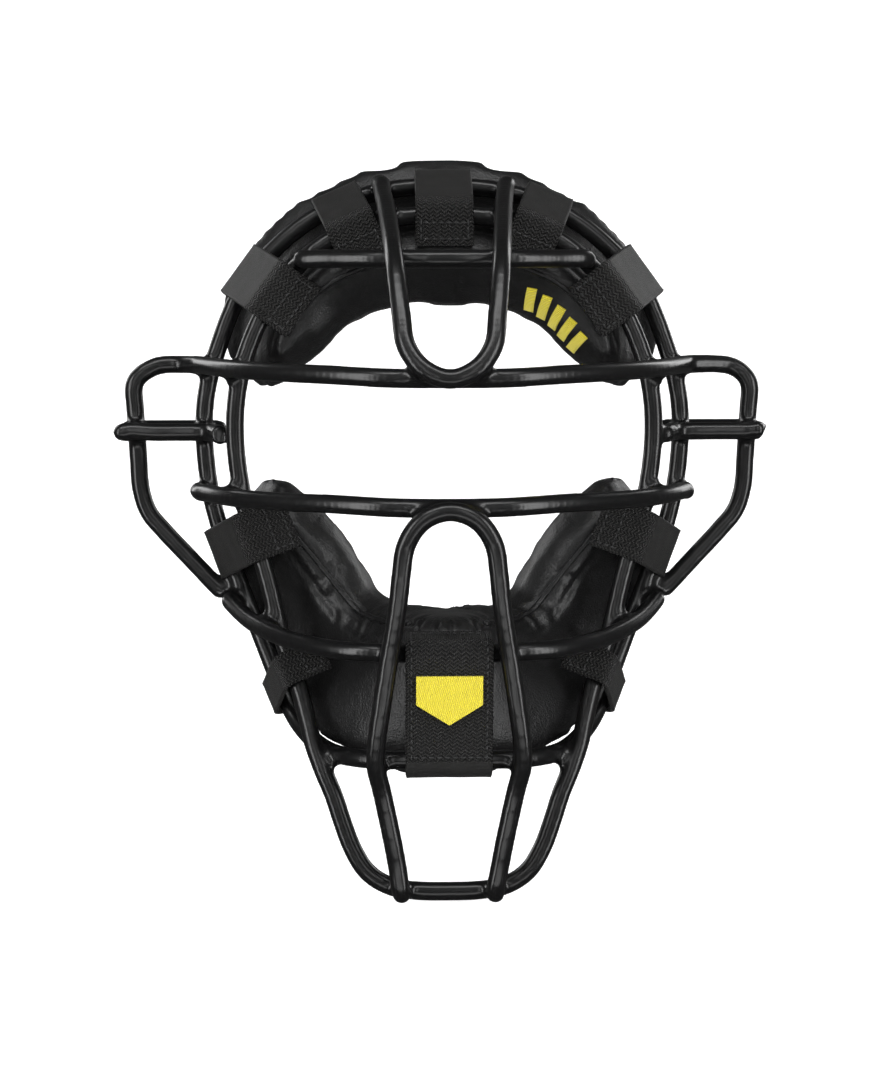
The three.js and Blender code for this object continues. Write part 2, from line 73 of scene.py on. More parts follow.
def add_camera():
    """A studio camera a little above eye level and a touch to one side."""
    azimuth, elevation, distance = math.radians(-1.6), math.radians(8.0), 0.850
    target = Vector((-0.0011, 0.0, -0.040))
    back = Vector(
        (
            math.sin(azimuth) * math.cos(elevation),
            -math.cos(azimuth) * math.cos(elevation),
            math.sin(elevation),
        )
    )
    data = bpy.data.cameras.new("camera")
    data.lens = 70.8
    data.sensor_width = 36.0
    camera = bpy.data.objects.new("camera", data)
    bpy.context.scene.collection.objects.link(camera)
    camera.location = target + back * distance
    camera.rotation_euler = back.to_track_quat("Z", "Y").to_euler()
    bpy.context.scene.camera = camera


add_camera()

# ------------------------------------------------------------------ node material helper


class Nodes:
    """A material being built, with short ways to add and join its nodes."""

    def __init__(self, name):
        self.material = bpy.data.materials.new(name)
        self.material.use_nodes = True
        self.tree = self.material.node_tree
        self.shader = self.tree.nodes["Principled BSDF"]

    def add(self, kind, settings=None, **inputs):
        node = self.tree.nodes.new(kind)
        for key, value in (settings or {}).items():
            setattr(node, key, value)
        for key, value in inputs.items():
            self.set(node, key.replace("_", " "), value)
        return node

    def set(self, node, socket, value):
        target = node.inputs[int(socket)] if socket.isdigit() else node.inputs[socket]
        if isinstance(value, bpy.types.NodeSocket):
            self.tree.links.new(value, target)
        else:
            target.default_value = value

    def math(self, operation, a, b=0.0, c=0.0):
        node = self.add("ShaderNodeMath", {"operation": operation})
        for index, value in enumerate((a, b, c)):
            self.set(node, str(index), value)
        return node.outputs[0]

    def spread(self, value, low, high):
        """Maps 0..1 to low..high."""
        node = self.add("ShaderNodeMapRange", Value=value)
        self.set(node, "To Min", low)
        self.set(node, "To Max", high)
        return node.outputs["Result"]

    def bump(self, height, distance, strength=1.0, below=None):
        node = self.add("ShaderNodeBump", Height=height, Distance=distance, Strength=strength)
        if below is not None:
            self.set(node, "Normal", below)
        return node.outputs["Normal"]

    def noise(self, scale, detail=3.0, roughness=0.5, vector=None):
        node = self.add("ShaderNodeTexNoise", Scale=scale, Detail=detail, Roughness=roughness)
        if vector is None:
            vector = self.add("ShaderNodeTexCoord").outputs["Object"]
        self.set(node, "Vector", vector)
        return node.outputs["Fac"]

    def finish(self, **sockets):
        for key, value in sockets.items():
            self.set(self.shader, key.replace("_", " "), value)
        return self.material


def coat_material():
    """Gloss black powder coat on the wire, with faint orange peel and handling marks."""
    m = Nodes("coated_steel")
    peel = m.noise(900.0, 2.0)
    wave = m.noise(70.0, 2.0)
    wear = m.noise(45.0, 6.0, 0.7)
    normal = m.bump(wave, 0.00006, 0.5)
    normal = m.bump(peel, 0.00003, 0.5, below=normal)
    return m.finish(
        Base_Color=(0.0035, 0.0035, 0.0037, 1),
        Roughness=m.spread(wear, 0.25, 0.36),
        Normal=normal,
        Coat_Weight=0.3,
        Coat_Roughness=0.2,
    )


def leather_material(name, tone, gloss_low, gloss_high, grain):
    """Black synthetic leather: pebbled grain, fine creases and uneven gloss."""
    m = Nodes(name)
    where = m.add("ShaderNodeTexCoord").outputs["Object"]
    cells = m.add(
        "ShaderNodeTexVoronoi", {"feature": "SMOOTH_F1"}, Vector=where, Scale=grain, Smoothness=0.6
    )
    creases = m.noise(110.0, 5.0, 0.65)
    rub = m.noise(26.0, 5.0, 0.6)
    colour = m.add("ShaderNodeMixRGB", {"blend_type": "MIX"})
    m.set(colour, "Fac", rub)
    m.set(colour, "Color1", (tone * 0.75, tone * 0.75, tone * 0.78, 1))
    m.set(colour, "Color2", (tone * 1.3, tone * 1.3, tone * 1.32, 1))
    normal = m.bump(creases, 0.0011, 0.35)
    normal = m.bump(cells.outputs["Distance"], 0.00022, 0.45, below=normal)
    return m.finish(
        Base_Color=colour.outputs["Color"],
        Roughness=m.spread(rub, gloss_low, gloss_high),
        Normal=normal,
        Sheen_Weight=0.02,
        Sheen_Roughness=0.4,
    )


def webbing_material():
    """Nylon webbing: close satin round the back ring, coarse herringbone beyond the join. The raised weave threads
    are painted lighter as a painted highlight, with painted shade left in the grooves; random fuzz varies the
    tone.
    """
    m = Nodes("webbing")
    uv = m.add("ShaderNodeTexCoord").outputs["UV"]
    parts = m.add("ShaderNodeSeparateXYZ", Vector=uv)
    across, along = parts.outputs["X"], parts.outputs["Y"]
    wander = m.math("MULTIPLY_ADD", m.noise(220.0, 3.0), 0.5, -0.25)
    column = m.math("PINGPONG", m.math("ADD", across, 60.0), HERRINGBONE_COLUMN)
    rise = m.math("ADD", m.math("MULTIPLY_ADD", column, 0.8, along), wander)
    twill = m.math("SINE", m.math("MULTIPLY", rise, 2 * math.pi / HERRINGBONE_PITCH))
    warp = m.math("SINE", m.math("MULTIPLY", across, 2 * math.pi / 0.75))
    weave = m.math("MULTIPLY", m.math("MULTIPLY_ADD", warp, 0.4, twill), 0.7)
    ribs = m.math("SINE", m.math("MULTIPLY", along, 2 * math.pi / 0.55))
    edge = m.add("ShaderNodeMapRange", Value=along)
    m.set(edge, "From Min", -0.25)
    m.set(edge, "From Max", 0.25)
    woven = edge.outputs["Result"]
    weave_height = m.math("MULTIPLY", weave, woven)
    rib_height = m.math("MULTIPLY", ribs, m.math("SUBTRACT", 1.0, woven))
    fuzz = m.noise(1500.0, 3.0)
    normal = m.bump(weave_height, 0.00055, 1.0)
    normal = m.bump(rib_height, 0.00005, 0.6, below=normal)
    normal = m.bump(fuzz, 0.00012, 0.5, below=normal)
    # painted highlight and shade: the colour rises with the weave's bump height, so crests are painted light and
    # grooves painted dark; fuzz adds random tone
    lift = m.math("MULTIPLY_ADD", weave_height, 0.55, 0.35)
    colour = m.add("ShaderNodeMixRGB", {"blend_type": "MIX", "use_clamp": True})
    m.set(colour, "Fac", m.math("MULTIPLY", lift, fuzz))
    m.set(colour, "Color1", (0.0035, 0.0035, 0.0037, 1))
    m.set(colour, "Color2", (0.046, 0.045, 0.042, 1))
    return m.finish(
        Base_Color=colour.outputs["Color"],
        Roughness=m.spread(woven, 0.46, 0.58),
        Normal=normal,
        Specular_IOR_Level=0.3,
        Sheen_Weight=0.03,
        Sheen_Roughness=0.4,
    )


def pile_material(name, tone):
    """Loop pile or brushed lining cloth."""
    m = Nodes(name)
    loops = m.noise(1400.0, 4.0, 0.7)
    patches = m.noise(90.0, 3.0)
    normal = m.bump(loops, 0.0004, 0.9)
    normal = m.bump(patches, 0.0008, 0.3, below=normal)
    colour = m.add("ShaderNodeMixRGB", {"blend_type": "MIX"})
    m.set(colour, "Fac", loops)
    m.set(colour, "Color1", (tone * 0.6, tone * 0.6, tone * 0.6, 1))
    m.set(colour, "Color2", (tone * 1.7, tone * 1.7, tone * 1.75, 1))
    return m.finish(
        Base_Color=colour.outputs["Color"],
        Roughness=m.spread(patches, 0.82, 0.98),
        Normal=normal,
        Sheen_Weight=0.06,
    )


def thread_material():
    """Yellow satin-stitch embroidery: close parallel threads with a soft sheen, each thread painted lighter along
    its crest with painted shade in the grooves between threads.
    """
    m = Nodes("yellow_thread")
    uv = m.add("ShaderNodeTexCoord").outputs["UV"]
    parts = m.add("ShaderNodeSeparateXYZ", Vector=uv)
    wander = m.noise(60.0, 2.0)
    line = m.math("MULTIPLY_ADD", wander, 0.5, parts.outputs["X"])
    threads = m.math("SINE", m.math("MULTIPLY", line, 2 * math.pi / 0.7))
    normal = m.bump(threads, 0.0003, 1.0)
    normal = m.bump(m.noise(2200.0, 2.0), 0.0001, 0.5, below=normal)
    # painted shade: the colour follows the thread ridges of the bump, lighter on each crest and darker in the
    # grooves between threads
    colour = m.add("ShaderNodeMixRGB", {"blend_type": "MIX"})
    m.set(colour, "Fac", m.math("MULTIPLY_ADD", threads, 0.4, 0.6))
    m.set(colour, "Color1", (0.55, 0.43, 0.004, 1))
    m.set(colour, "Color2", (0.90, 0.78, 0.01, 1))
    return m.finish(
        Base_Color=colour.outputs["Color"],
        Roughness=m.spread(wander, 0.42, 0.6),
        Normal=normal,
        Sheen_Weight=0.2,
    )


MATERIALS = {
    "coat": coat_material(),
    "leather": leather_material("pad_leather", 0.0062, 0.30, 0.44, 1500.0),
    "piping": leather_material("pad_piping", 0.005, 0.28, 0.4, 1900.0),
    "webbing": webbing_material(),
    "pile": pile_material("loop_pile", 0.004),
    "lining": pile_material("pad_lining", 0.0055),
    "thread": thread_material(),
    "sewing": leather_material("sewing_thread", 0.02, 0.35, 0.5, 2600.0),
}

# ------------------------------------------------------------------ mesh helpers

DOME_ANGLES = (22.5, 45, 67.5)
TIP_BULGE = 0.08
BLOCK = 4000  # points measured at once, to keep memory small


def new_object(name, vertices, faces, material):
    mesh = bpy.data.meshes.new(name)
    mesh.from_pydata([tuple(v) for v in vertices], [], faces)
    mesh.update()
    mesh.materials.append(material)
    obj = bpy.data.objects.new(name, mesh)
    bpy.context.scene.collection.objects.link(obj)
    shade_smooth(obj)
    return obj


def shade_smooth(obj):
    obj.data.polygons.foreach_set("use_smooth", [True] * len(obj.data.polygons))


def recalculate_normals(obj):
    b = bmesh.new()
    b.from_mesh(obj.data)
    bmesh.ops.recalc_face_normals(b, faces=b.faces)
    b.to_mesh(obj.data)
    b.free()


def apply_modifiers(obj):
    graph = bpy.context.evaluated_depsgraph_get()
    mesh = bpy.data.meshes.new_from_object(obj.evaluated_get(graph))
    obj.modifiers.clear()
    obj.data = mesh
    return obj


def voxel_remesh(obj, size):
    remesh = obj.modifiers.new("remesh", "REMESH")
    remesh.mode = "VOXEL"
    remesh.voxel_size = size


def offset_surface(obj, distance):
    displace = obj.modifiers.new("offset", "DISPLACE")
    displace.mid_level = 0.0
    displace.strength = distance


def smooth_surface(obj, iterations):
    smooth = obj.modifiers.new("smooth", "SMOOTH")
    smooth.factor = 0.5
    smooth.iterations = iterations


def join_parts(parts):
    """One list of vertices and one of faces, from many."""
    vertices, faces = [], []
    for part_vertices, part_faces in parts:
        offset = len(vertices)
        vertices += part_vertices
        faces += [tuple(i + offset for i in f) for f in part_faces]
    return vertices, faces


def catmull_rom(points, per_span):
    """A smooth line through points, with per_span steps between each two."""
    p = np.asarray(points, float)
    closed = np.allclose(p[0], p[-1])
    before = p[-2] if closed else 2 * p[0] - p[1]
    after = p[1] if closed else 2 * p[-1] - p[-2]
    padded = np.vstack([before, p, after])
    out = []
    for i in range(1, len(padded) - 2):
        a, b, c, d = padded[i - 1 : i + 3]
        for t in np.arange(per_span) / per_span:
            out.append(
                0.5
                * (
                    2 * b
                    + (c - a) * t
                    + (2 * a - 5 * b + 4 * c - d) * t * t
                    + (3 * b - a - 3 * c + d) * t**3
                )
            )
    out.append(p[-1])
    return np.array(out)


def lengths_along(line):
    """How far along the line each of its points is."""
    return np.r_[0, np.cumsum(np.linalg.norm(np.diff(line, axis=0), axis=1))]


def unit_tangents(line):
    tangents = np.gradient(line, axis=0)
    return tangents / np.linalg.norm(tangents, axis=1, keepdims=True)


def resample(line, step):
    """The line again with its points evenly spaced."""
    lengths = lengths_along(line)
    count = max(2, int(round(lengths[-1] / step)) + 1)
    at = np.linspace(0, lengths[-1], count)
    return np.stack([np.interp(at, lengths, line[:, k]) for k in range(3)], axis=1)


def frames_along(line):
    """Tangent and two square directions at each point, turning as little as possible."""
    tangents = unit_tangents(line)
    side = np.cross(tangents[0], [0.0, 0.0, 1.0])
    if np.linalg.norm(side) < 0.2:
        side = np.cross(tangents[0], [0.0, 1.0, 0.0])
    sides = []
    for tangent in tangents:
        side = side - tangent * np.dot(side, tangent)
        side /= np.linalg.norm(side)
        sides.append(side)
    sides = np.array(sides)
    return tangents, sides, np.cross(tangents, sides)


def loft_faces(rings, sides):
    """Quads between rings that each have so many sides."""
    faces = []
    for i in range(rings - 1):
        for k in range(sides):
            n = (k + 1) % sides
            faces.append((i * sides + k, i * sides + n, (i + 1) * sides + n, (i + 1) * sides + k))
    return faces


def tube(line, radius, sides):
    """Vertices and faces of a round tube along a line, with domed ends."""
    tangents, across, up = frames_along(line)
    stations = [(line[i], radius, i) for i in range(len(line))]
    for angle in (math.radians(a) for a in DOME_ANGLES):
        low = line[0] - tangents[0] * radius * math.sin(angle)
        high = line[-1] + tangents[-1] * radius * math.sin(angle)
        stations.insert(0, (low, radius * math.cos(angle), 0))
        stations.append((high, radius * math.cos(angle), len(line) - 1))
    vertices, faces = [], []
    for centre, r, i in stations:
        for k in range(sides):
            turn = 2 * math.pi * k / sides
            vertices.append(centre + r * (math.cos(turn) * across[i] + math.sin(turn) * up[i]))
    faces += loft_faces(len(stations), sides)
    for ring, flip in ((0, True), (len(stations) - 1, False)):
        centre, _, i = stations[ring]
        tip = centre + tangents[i] * radius * (-TIP_BULGE if flip else TIP_BULGE)
        vertices.append(tip)
        hub = len(vertices) - 1
        for k in range(sides):
            n = (k + 1) % sides
            rim = (ring * sides + k, ring * sides + n)
            faces.append((hub, rim[1], rim[0]) if flip else (hub, rim[0], rim[1]))
    return vertices, faces


# ------------------------------------------------------------------ wires

WIRE_RADIUS = 3.6 * MM
WIRE_STEP = 2.2 * MM
WELD_SWELL = 1.35 * MM  # the wires are meshed this much thicker, so that they join at the welds
SMOOTHING_LOSS = 0.18 * MM
CHAIN_GAP = 22 * MM
RING_POINTS = 20  # a shorter wire is never taken for a closed ring
PAD_WIRES = ("back_ring", "front_ring", "jaw_bar", "forehead_bar", "brow_bar", "eye_bar")
WIRES = [s["node"] for s in frame["record"]["subparts"] if s["material_slot"] == "coated_steel"]


def node_mesh(node):
    b = bmesh.new()
    b.from_mesh(frame["nodes"][node].data)
    b.transform(frame["nodes"][node].matrix_world)
    bmesh.ops.remove_doubles(b, verts=b.verts, dist=0.01 * MM)
    b.normal_update()
    return b


def gather(points, distance):
    """Groups of points that lie within distance of the group's first point."""
    groups = []
    for point in points:
        for group in groups:
            if np.linalg.norm(group[0] - point) < distance:
                group.append(point)
                break
        else:
            groups.append([point])
    return groups


def in_order(points):
    """The points of a wire from one end to the other, or right round when its ends meet."""
    rest = [np.asarray(p) for p in points]
    chain = [rest.pop(0)]
    for _ in range(2):
        while rest:
            gaps = [np.linalg.norm(p - chain[-1]) for p in rest]
            nearest = int(np.argmin(gaps))
            if gaps[nearest] > CHAIN_GAP:
                break
            chain.append(rest.pop(nearest))
        chain.reverse()
    if len(chain) > RING_POINTS and np.linalg.norm(chain[0] - chain[-1]) < CHAIN_GAP:
        chain.append(chain[0])
    return np.array(chain)


def wire_line(node):
    """The centreline of a CAD wire, found from its faceted surface."""
    b = node_mesh(node)
    coords = np.array([v.co[:] for v in b.verts])
    normals = np.array([v.normal[:] for v in b.verts])
    b.free()
    inner = coords - normals * WIRE_RADIUS
    groups = gather(inner, 0.9 * MM)
    centres = [np.mean(g, axis=0) for g in groups if len(g) >= 5]
    near = np.array(centres)
    rims = [c for c in coords if np.min(np.linalg.norm(near - c, axis=1)) > 1.35 * WIRE_RADIUS]
    for group in gather(rims, 2.3 * WIRE_RADIUS):
        middle = np.mean(group, axis=0)
        if len(group) >= 5 and np.min(np.linalg.norm(near - middle, axis=1)) > 2 * MM:
            centres.append(middle)
    return in_order(centres)


def add_cage():
    """The welded, coated cage: round wires with the coating bridging each weld."""
    lines = {n: resample(catmull_rom(wire_line(n), 8), WIRE_STEP) for n in WIRES}
    tubes = [tube(line, WIRE_RADIUS + WELD_SWELL, 20) for line in lines.values()]
    cage = new_object("cage", *join_parts(tubes), MATERIALS["coat"])
    voxel = 0.9 * MM
    voxel_remesh(cage, voxel)
    smooth_surface(cage, 3)
    apply_modifiers(cage)
    offset_surface(cage, -WELD_SWELL)
    voxel_remesh(cage, voxel)
    smooth_surface(cage, 9)
    apply_modifiers(cage)
    offset_surface(cage, SMOOTHING_LOSS)
    apply_modifiers(cage)
    shade_smooth(cage)
    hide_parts(*WIRES)
    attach(cage, ROOT)
    return lines


WIRE_LINES = add_cage()

# ------------------------------------------------------------------ surfaces to measure against


def tree_of(obj):
    b = bmesh.new()
    b.from_mesh(obj.data)
    b.transform(obj.matrix_world)
    tree = BVHTree.FromBMesh(b)
    b.free()
    return tree


def unit(vector):
    return vector / np.linalg.norm(vector)


# ------------------------------------------------------------------ pads

FACE_MIDDLE_Z = -10 * MM
TIP_SEARCH = 45 * MM
TIP_RADIUS = 16 * MM
TIP_DEPTH = 14 * MM
TIP_RISE = 3 * MM
PUFF = 1.6 * MM
SEAM_WIDTH = 1.8 * MM
LINING_REACH = 3.4 * MM
LINING_FACING = 0.35
CLOTH_FRAMES = 20


class PadShape:
    """Where a pad's spine and the corners of its section are, in metres.

    Each corner is (in, out): in from the back ring towards the front ring, out from the wearer.
    They go round the section: outer back edge, under the back ring, under the front ring, the seam
    of the front panel, the panel's inner edge and the inner edge that faces the wearer.
    """

    def __init__(self, node, spine, tilts, focus, middle, end):
        self.node = node
        right = [np.array(p) for p in spine]
        left = [np.array([-p[0], p[1], p[2]]) for p in spine[:0:-1]]
        self.line = resample(catmull_rom(left + right, 12), 1.5) * MM
        self.tilts, self.focus = tilts, focus
        self.middle, self.end = np.array(middle, float), np.array(end, float)
        self.tangents = np.gradient(self.line, axis=0)

    def share(self, u):
        return 0.5 - 0.5 * np.cos(2 * np.pi * u)

    def at(self, u, corner_in, corner_out):
        """The point at share u of the length and (in, out) millimetres from the spine."""
        i = int(round(u * (len(self.line) - 1)))
        origin, along = self.line[i], self.tangents[i].copy()
        along[1] = 0.0
        along = unit(along)
        radial = np.cross(along, [0.0, 1.0, 0.0])
        if radial @ np.array([origin[0], 0.0, origin[2]]) < 0:
            radial = -radial
        low, high = self.tilts
        tilt = math.radians(low + (high - low) * self.share(u))
        back = np.array([0.0, 1.0, 0.0])
        inward = -math.cos(tilt) * back - math.sin(tilt) * radial
        outward = -math.sin(tilt) * back + math.cos(tilt) * radial
        return origin + MM * (corner_in * inward + corner_out * outward)

    def corner(self, u, index, toward=None, share=0.0):
        """A corner of the section at u, or a place part of the way to another corner."""
        weight = self.share(u) ** self.focus
        corners = self.end + (self.middle - self.end) * weight
        place = corners[index]
        if toward is not None:
            place = place + (corners[toward] - place) * share
        return self.at(u, *place)

    def run(self, first, last, index, toward=None, share=0.0, count=60):
        """A line along the pad at one corner of the section."""
        return np.array(
            [self.corner(u, index, toward, share) for u in np.linspace(first, last, count)]
        )


UPPER = PadShape(
    "upper_pad",
    [
        (0, 32, 101),
        (27, 32, 98),
        (50, 31, 89),
        (67, 30, 76.5),
        (80, 28.5, 60),
        (88, 27, 40),
        (88.5, 26, 19.5),
    ],
    (28, 26),
    1.0,
    [(-20, 1), (-10, -7), (27, -7), (41, -12.5), (35, -39), (-24, -26)],
    [(-15, -1), (-9, -7), (25, -6.5), (33, -8.5), (26, -33), (-16, -28)],
)
LOWER = PadShape(
    "lower_pad",
    [
        (0, -52, -117.5),
        (22, -46, -115),
        (42, -29, -107),
        (61, 0, -90),
        (73.5, 15, -69),
        (86, 20, -46),
        (89.5, 22, -18.5),
    ],
    (30, 90),
    2.2,
    [(-1, -9), (5, -6.5), (40, -3), (53, -6), (54, -42), (2, -42)],
    [(-12, -4), (-5, -7.5), (27, -7), (35, -9.5), (28, -34), (-13, -30)],
)
OUTER, UNDER_BACK, UNDER_FRONT, SEAM, INNER, WEARER = range(6)


class Nearness:
    """How far points are from a line, and which share of the line is nearest."""

    def __init__(self, line):
        self.line = resample(np.asarray(line), 0.8 * MM)

    def measure(self, points):
        distance = np.empty(len(points))
        share = np.empty(len(points))
        for start in range(0, len(points), BLOCK):
            block = points[start : start + BLOCK]
            gaps = np.linalg.norm(block[:, None, :] - self.line[None, :, :], axis=2)
            nearest = gaps.argmin(axis=1)
            distance[start : start + BLOCK] = gaps[np.arange(len(block)), nearest]
            share[start : start + BLOCK] = nearest / (len(self.line) - 1)
        return distance, share


def swell_edge(points, line, height, reach):
    """Puffs a pad's outer edge away from the middle of the mask, fading towards its ends."""
    distance, share = Nearness(line).measure(points)
    away = points - np.array([0.0, 0.0, FACE_MIDDLE_Z])
    away[:, 1] = 0.0
    away /= np.maximum(np.linalg.norm(away, axis=1, keepdims=True), 1 * MM)
    ends = np.clip(np.minimum(share, 1 - share) * 7, 0, 1)
    return points + away * (height * ends * np.exp(-((distance / reach) ** 2)))[:, None]


def round_tip(shape, points, end):
    """Turns the pointed end of a pad's filling into a dome. end is 0 for its start, -1 for its end."""
    outward = unit(shape.tangents[end]) * (-1 if end == 0 else 1)
    near_end = np.linalg.norm(points - shape.line[end], axis=1) < TIP_SEARCH
    candidates = points[near_end]
    tip = candidates[(candidates @ outward).argmax()]
    back = (tip - points) @ outward
    sideways = np.linalg.norm(points - tip + back[:, None] * outward, axis=1)
    around = np.sin(np.pi * np.clip(sideways / TIP_RADIUS, 0, 1))
    fade = np.clip(1 - back / TIP_DEPTH, 0, 1) * near_end
    return points + outward * (TIP_RISE * around * fade)[:, None]


def press_against(points, wires):
    """Keeps a pad's surface off the wires that it is strapped against."""
    clear = WIRE_RADIUS + 0.5 * MM
    for wire in wires:
        line = resample(WIRE_LINES[wire], 0.8 * MM)
        for start in range(0, len(points), BLOCK):
            block = points[start : start + BLOCK]
            gaps = block[:, None, :] - line[None, :, :]
            distance = np.linalg.norm(gaps, axis=2)
            nearest = distance.argmin(axis=1)
            rows = np.arange(len(block))
            gap, length = gaps[rows, nearest], distance[rows, nearest]
            short = length < clear
            push = gap[short] / np.maximum(length[short], 0.05 * MM)[:, None]
            block[short] += push * (clear - length[short])[:, None]
            points[start : start + BLOCK] = block
    return points


def coordinates(obj):
    points = np.empty(len(obj.data.vertices) * 3)
    obj.data.vertices.foreach_get("co", points)
    return points.reshape(-1, 3)


def vertex_normals(obj):
    normals = np.empty(len(obj.data.vertices) * 3)
    obj.data.vertices.foreach_get("normal", normals)
    return normals.reshape(-1, 3)


def move_vertices(obj, points):
    obj.data.vertices.foreach_set("co", np.ascontiguousarray(points, float).ravel())
    obj.data.update()


def filled_copy(name, nodes, voxel):
    """One closed body made of copies of the CAD nodes, filled and evenly meshed."""
    b = bmesh.new()
    for node in nodes:
        source = frame["nodes"][node]
        piece = source.data.copy()
        piece.transform(source.matrix_world)
        b.from_mesh(piece)
        bpy.data.meshes.remove(piece)
    mesh = bpy.data.meshes.new(name)
    b.to_mesh(mesh)
    b.free()
    obj = bpy.data.objects.new(name, mesh)
    bpy.context.scene.collection.objects.link(obj)
    offset_surface(obj, 0.9 * MM)
    voxel_remesh(obj, 1.2 * MM)
    apply_modifiers(obj)
    keep_largest(obj)
    voxel_remesh(obj, voxel)
    offset_surface(obj, -0.5 * MM)
    smooth_surface(obj, 7)
    apply_modifiers(obj)
    keep_largest(obj)
    return obj


def keep_largest(obj):
    """Drops the inner walls that meshing a hollow body leaves behind."""
    b = bmesh.new()
    b.from_mesh(obj.data)
    seen, islands = set(), []
    for start in b.verts:
        if start in seen:
            continue
        stack, island = [start], []
        seen.add(start)
        while stack:
            vertex = stack.pop()
            island.append(vertex)
            for edge in vertex.link_edges:
                other = edge.other_vert(vertex)
                if other not in seen:
                    seen.add(other)
                    stack.append(other)
        islands.append(island)
    islands.sort(key=lambda i: np.ptp([v.co[:] for v in i], axis=0).sum(), reverse=True)
    for island in islands[1:]:
        bmesh.ops.delete(b, geom=island, context="VERTS")
    b.to_mesh(obj.data)
    b.free()


def inflate(obj, limit):
    """Lets the cover stretch under pressure, no vertex moving more than limit."""
    before = coordinates(obj).copy()
    scene = bpy.context.scene
    scene.frame_start, scene.frame_end = 1, CLOTH_FRAMES
    cloth = obj.modifiers.new("cloth", "CLOTH")
    settings = cloth.settings
    settings.quality = 6
    settings.mass = 0.25
    settings.use_pressure = True
    settings.uniform_pressure_force = 4.0
    settings.effector_weights.gravity = 0.0
    settings.tension_stiffness = settings.compression_stiffness = 12.0
    settings.bending_stiffness = 0.4
    cloth.point_cache.frame_start, cloth.point_cache.frame_end = 1, CLOTH_FRAMES
    for number in range(1, CLOTH_FRAMES + 1):
        scene.frame_set(number)
    apply_modifiers(obj)
    scene.frame_set(1)
    after = coordinates(obj)
    travel = after - before
    length = np.linalg.norm(travel, axis=1, keepdims=True)
    capped = travel * np.minimum(1.0, limit / np.maximum(length, 1e-9))
    move_vertices(obj, before + capped)


def subdivide(obj, levels):
    modifier = obj.modifiers.new("finer", "SUBSURF")
    modifier.levels = modifier.render_levels = levels
    apply_modifiers(obj)


def groove(points, normals, line, width, depth):
    """Points pressed in along a line."""
    distance, _ = Nearness(line).measure(points)
    return points - normals * (depth * np.exp(-((distance / width) ** 2)))[:, None]


def sew_edges(shape, points, normals, depth):
    """The seams that run the length of a pad, pressed in."""
    for index in (SEAM, UNDER_FRONT, INNER):
        points = groove(points, normals, shape.run(0.04, 0.96, index), SEAM_WIDTH, depth)
    return groove(points, normals, shape.run(0.03, 0.97, WEARER), SEAM_WIDTH, depth)


def gathers(points, normals, line, reach, height, pitch):
    """Small folds that run away from a sewn line and fade with distance."""
    near = Nearness(line)
    distance, share = near.measure(points)
    length = np.linalg.norm(np.diff(near.line, axis=0), axis=1).sum()
    wander = np.array([noise.noise(Vector(p) * 60.0) for p in points])
    phase = share * length / pitch + 0.9 * wander
    fold = np.sin(2 * np.pi * phase) * (0.6 + 0.6 * np.sin(2 * np.pi * phase / 3.7))
    ends = np.clip(np.minimum(share, 1 - share) * 12, 0, 1)
    fade = np.exp(-((distance / reach) ** 2)) * np.clip(distance / (0.35 * reach), 0.15, 1) * ends
    return points + normals * (height * fold * fade)[:, None]


def soft_lumps(points, normals, height, scale):
    bumps = np.array([noise.noise(Vector(p) * scale) for p in points])
    return points + normals * (height * bumps)[:, None]


def panel_puff(shape, points, normals, height, first, last):
    """Fills out the front panel between its seam and its inner edge."""
    seam, _ = Nearness(shape.run(first, last, SEAM)).measure(points)
    inner, _ = Nearness(shape.run(first, last, INNER)).measure(points)
    middle = Nearness(shape.run(first, last, SEAM, INNER, 0.5))
    distance, share = middle.measure(points)
    across = seam + inner
    fill = np.clip(4 * seam * inner / across**2, 0, 1) * np.clip(1 - distance / (14 * MM), 0, 1)
    ends = np.clip(np.minimum(share, 1 - share) * 8, 0, 1)
    return points + normals * (height * fill * ends)[:, None]


def on_surface(tree, line, lift):
    """The line again, laid on a surface and lifted off it."""
    out = []
    for point in line:
        place, normal, _, _ = tree.find_nearest(Vector(point))
        out.append(np.array(place + normal * lift))
    out = np.array(out)
    for _ in range(3):
        out[1:-1] = (out[:-2] + 2 * out[1:-1] + out[2:]) / 4
    return out


def add_piping(name, tree, lines, radius):
    """Cords of piping sewn along the edges of a panel, one piece for the whole pad."""
    laid = [resample(on_surface(tree, line, 0.1 * radius), 0.9 * MM) for line in lines]
    cords = [tube(line, radius, 10) for line in laid]
    piping = new_object(name, *join_parts(cords), MATERIALS["piping"])
    recalculate_normals(piping)
    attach(piping, ROOT)


def give_lining(obj, node):
    """Faces that lie nearest the CAD lining take the lining cloth."""
    lining = tree_of(frame["nodes"][node])
    obj.data.materials.append(MATERIALS["lining"])
    for face in obj.data.polygons:
        _, normal, _, distance = lining.find_nearest(face.center)
        if distance < LINING_REACH and normal.dot(face.normal) > LINING_FACING:
            face.material_index = 1


def pad_body(shape):
    """The filled, inflated and subdivided cover of a pad, before its sewing is drawn in."""
    nodes = [shape.node + part for part in ("_cover", "_foam", "_lining")]
    obj = filled_copy(shape.node, nodes, (4.2) * MM)
    obj.data.materials.clear()
    obj.data.materials.append(MATERIALS["leather"])
    inflate(obj, PUFF)
    subdivide(obj, 2)
    return obj, nodes


def finish_pad(obj, nodes):
    give_lining(obj, nodes[2])
    shade_smooth(obj)
    obj.data.update()
    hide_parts(*nodes)
    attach(obj, ROOT)


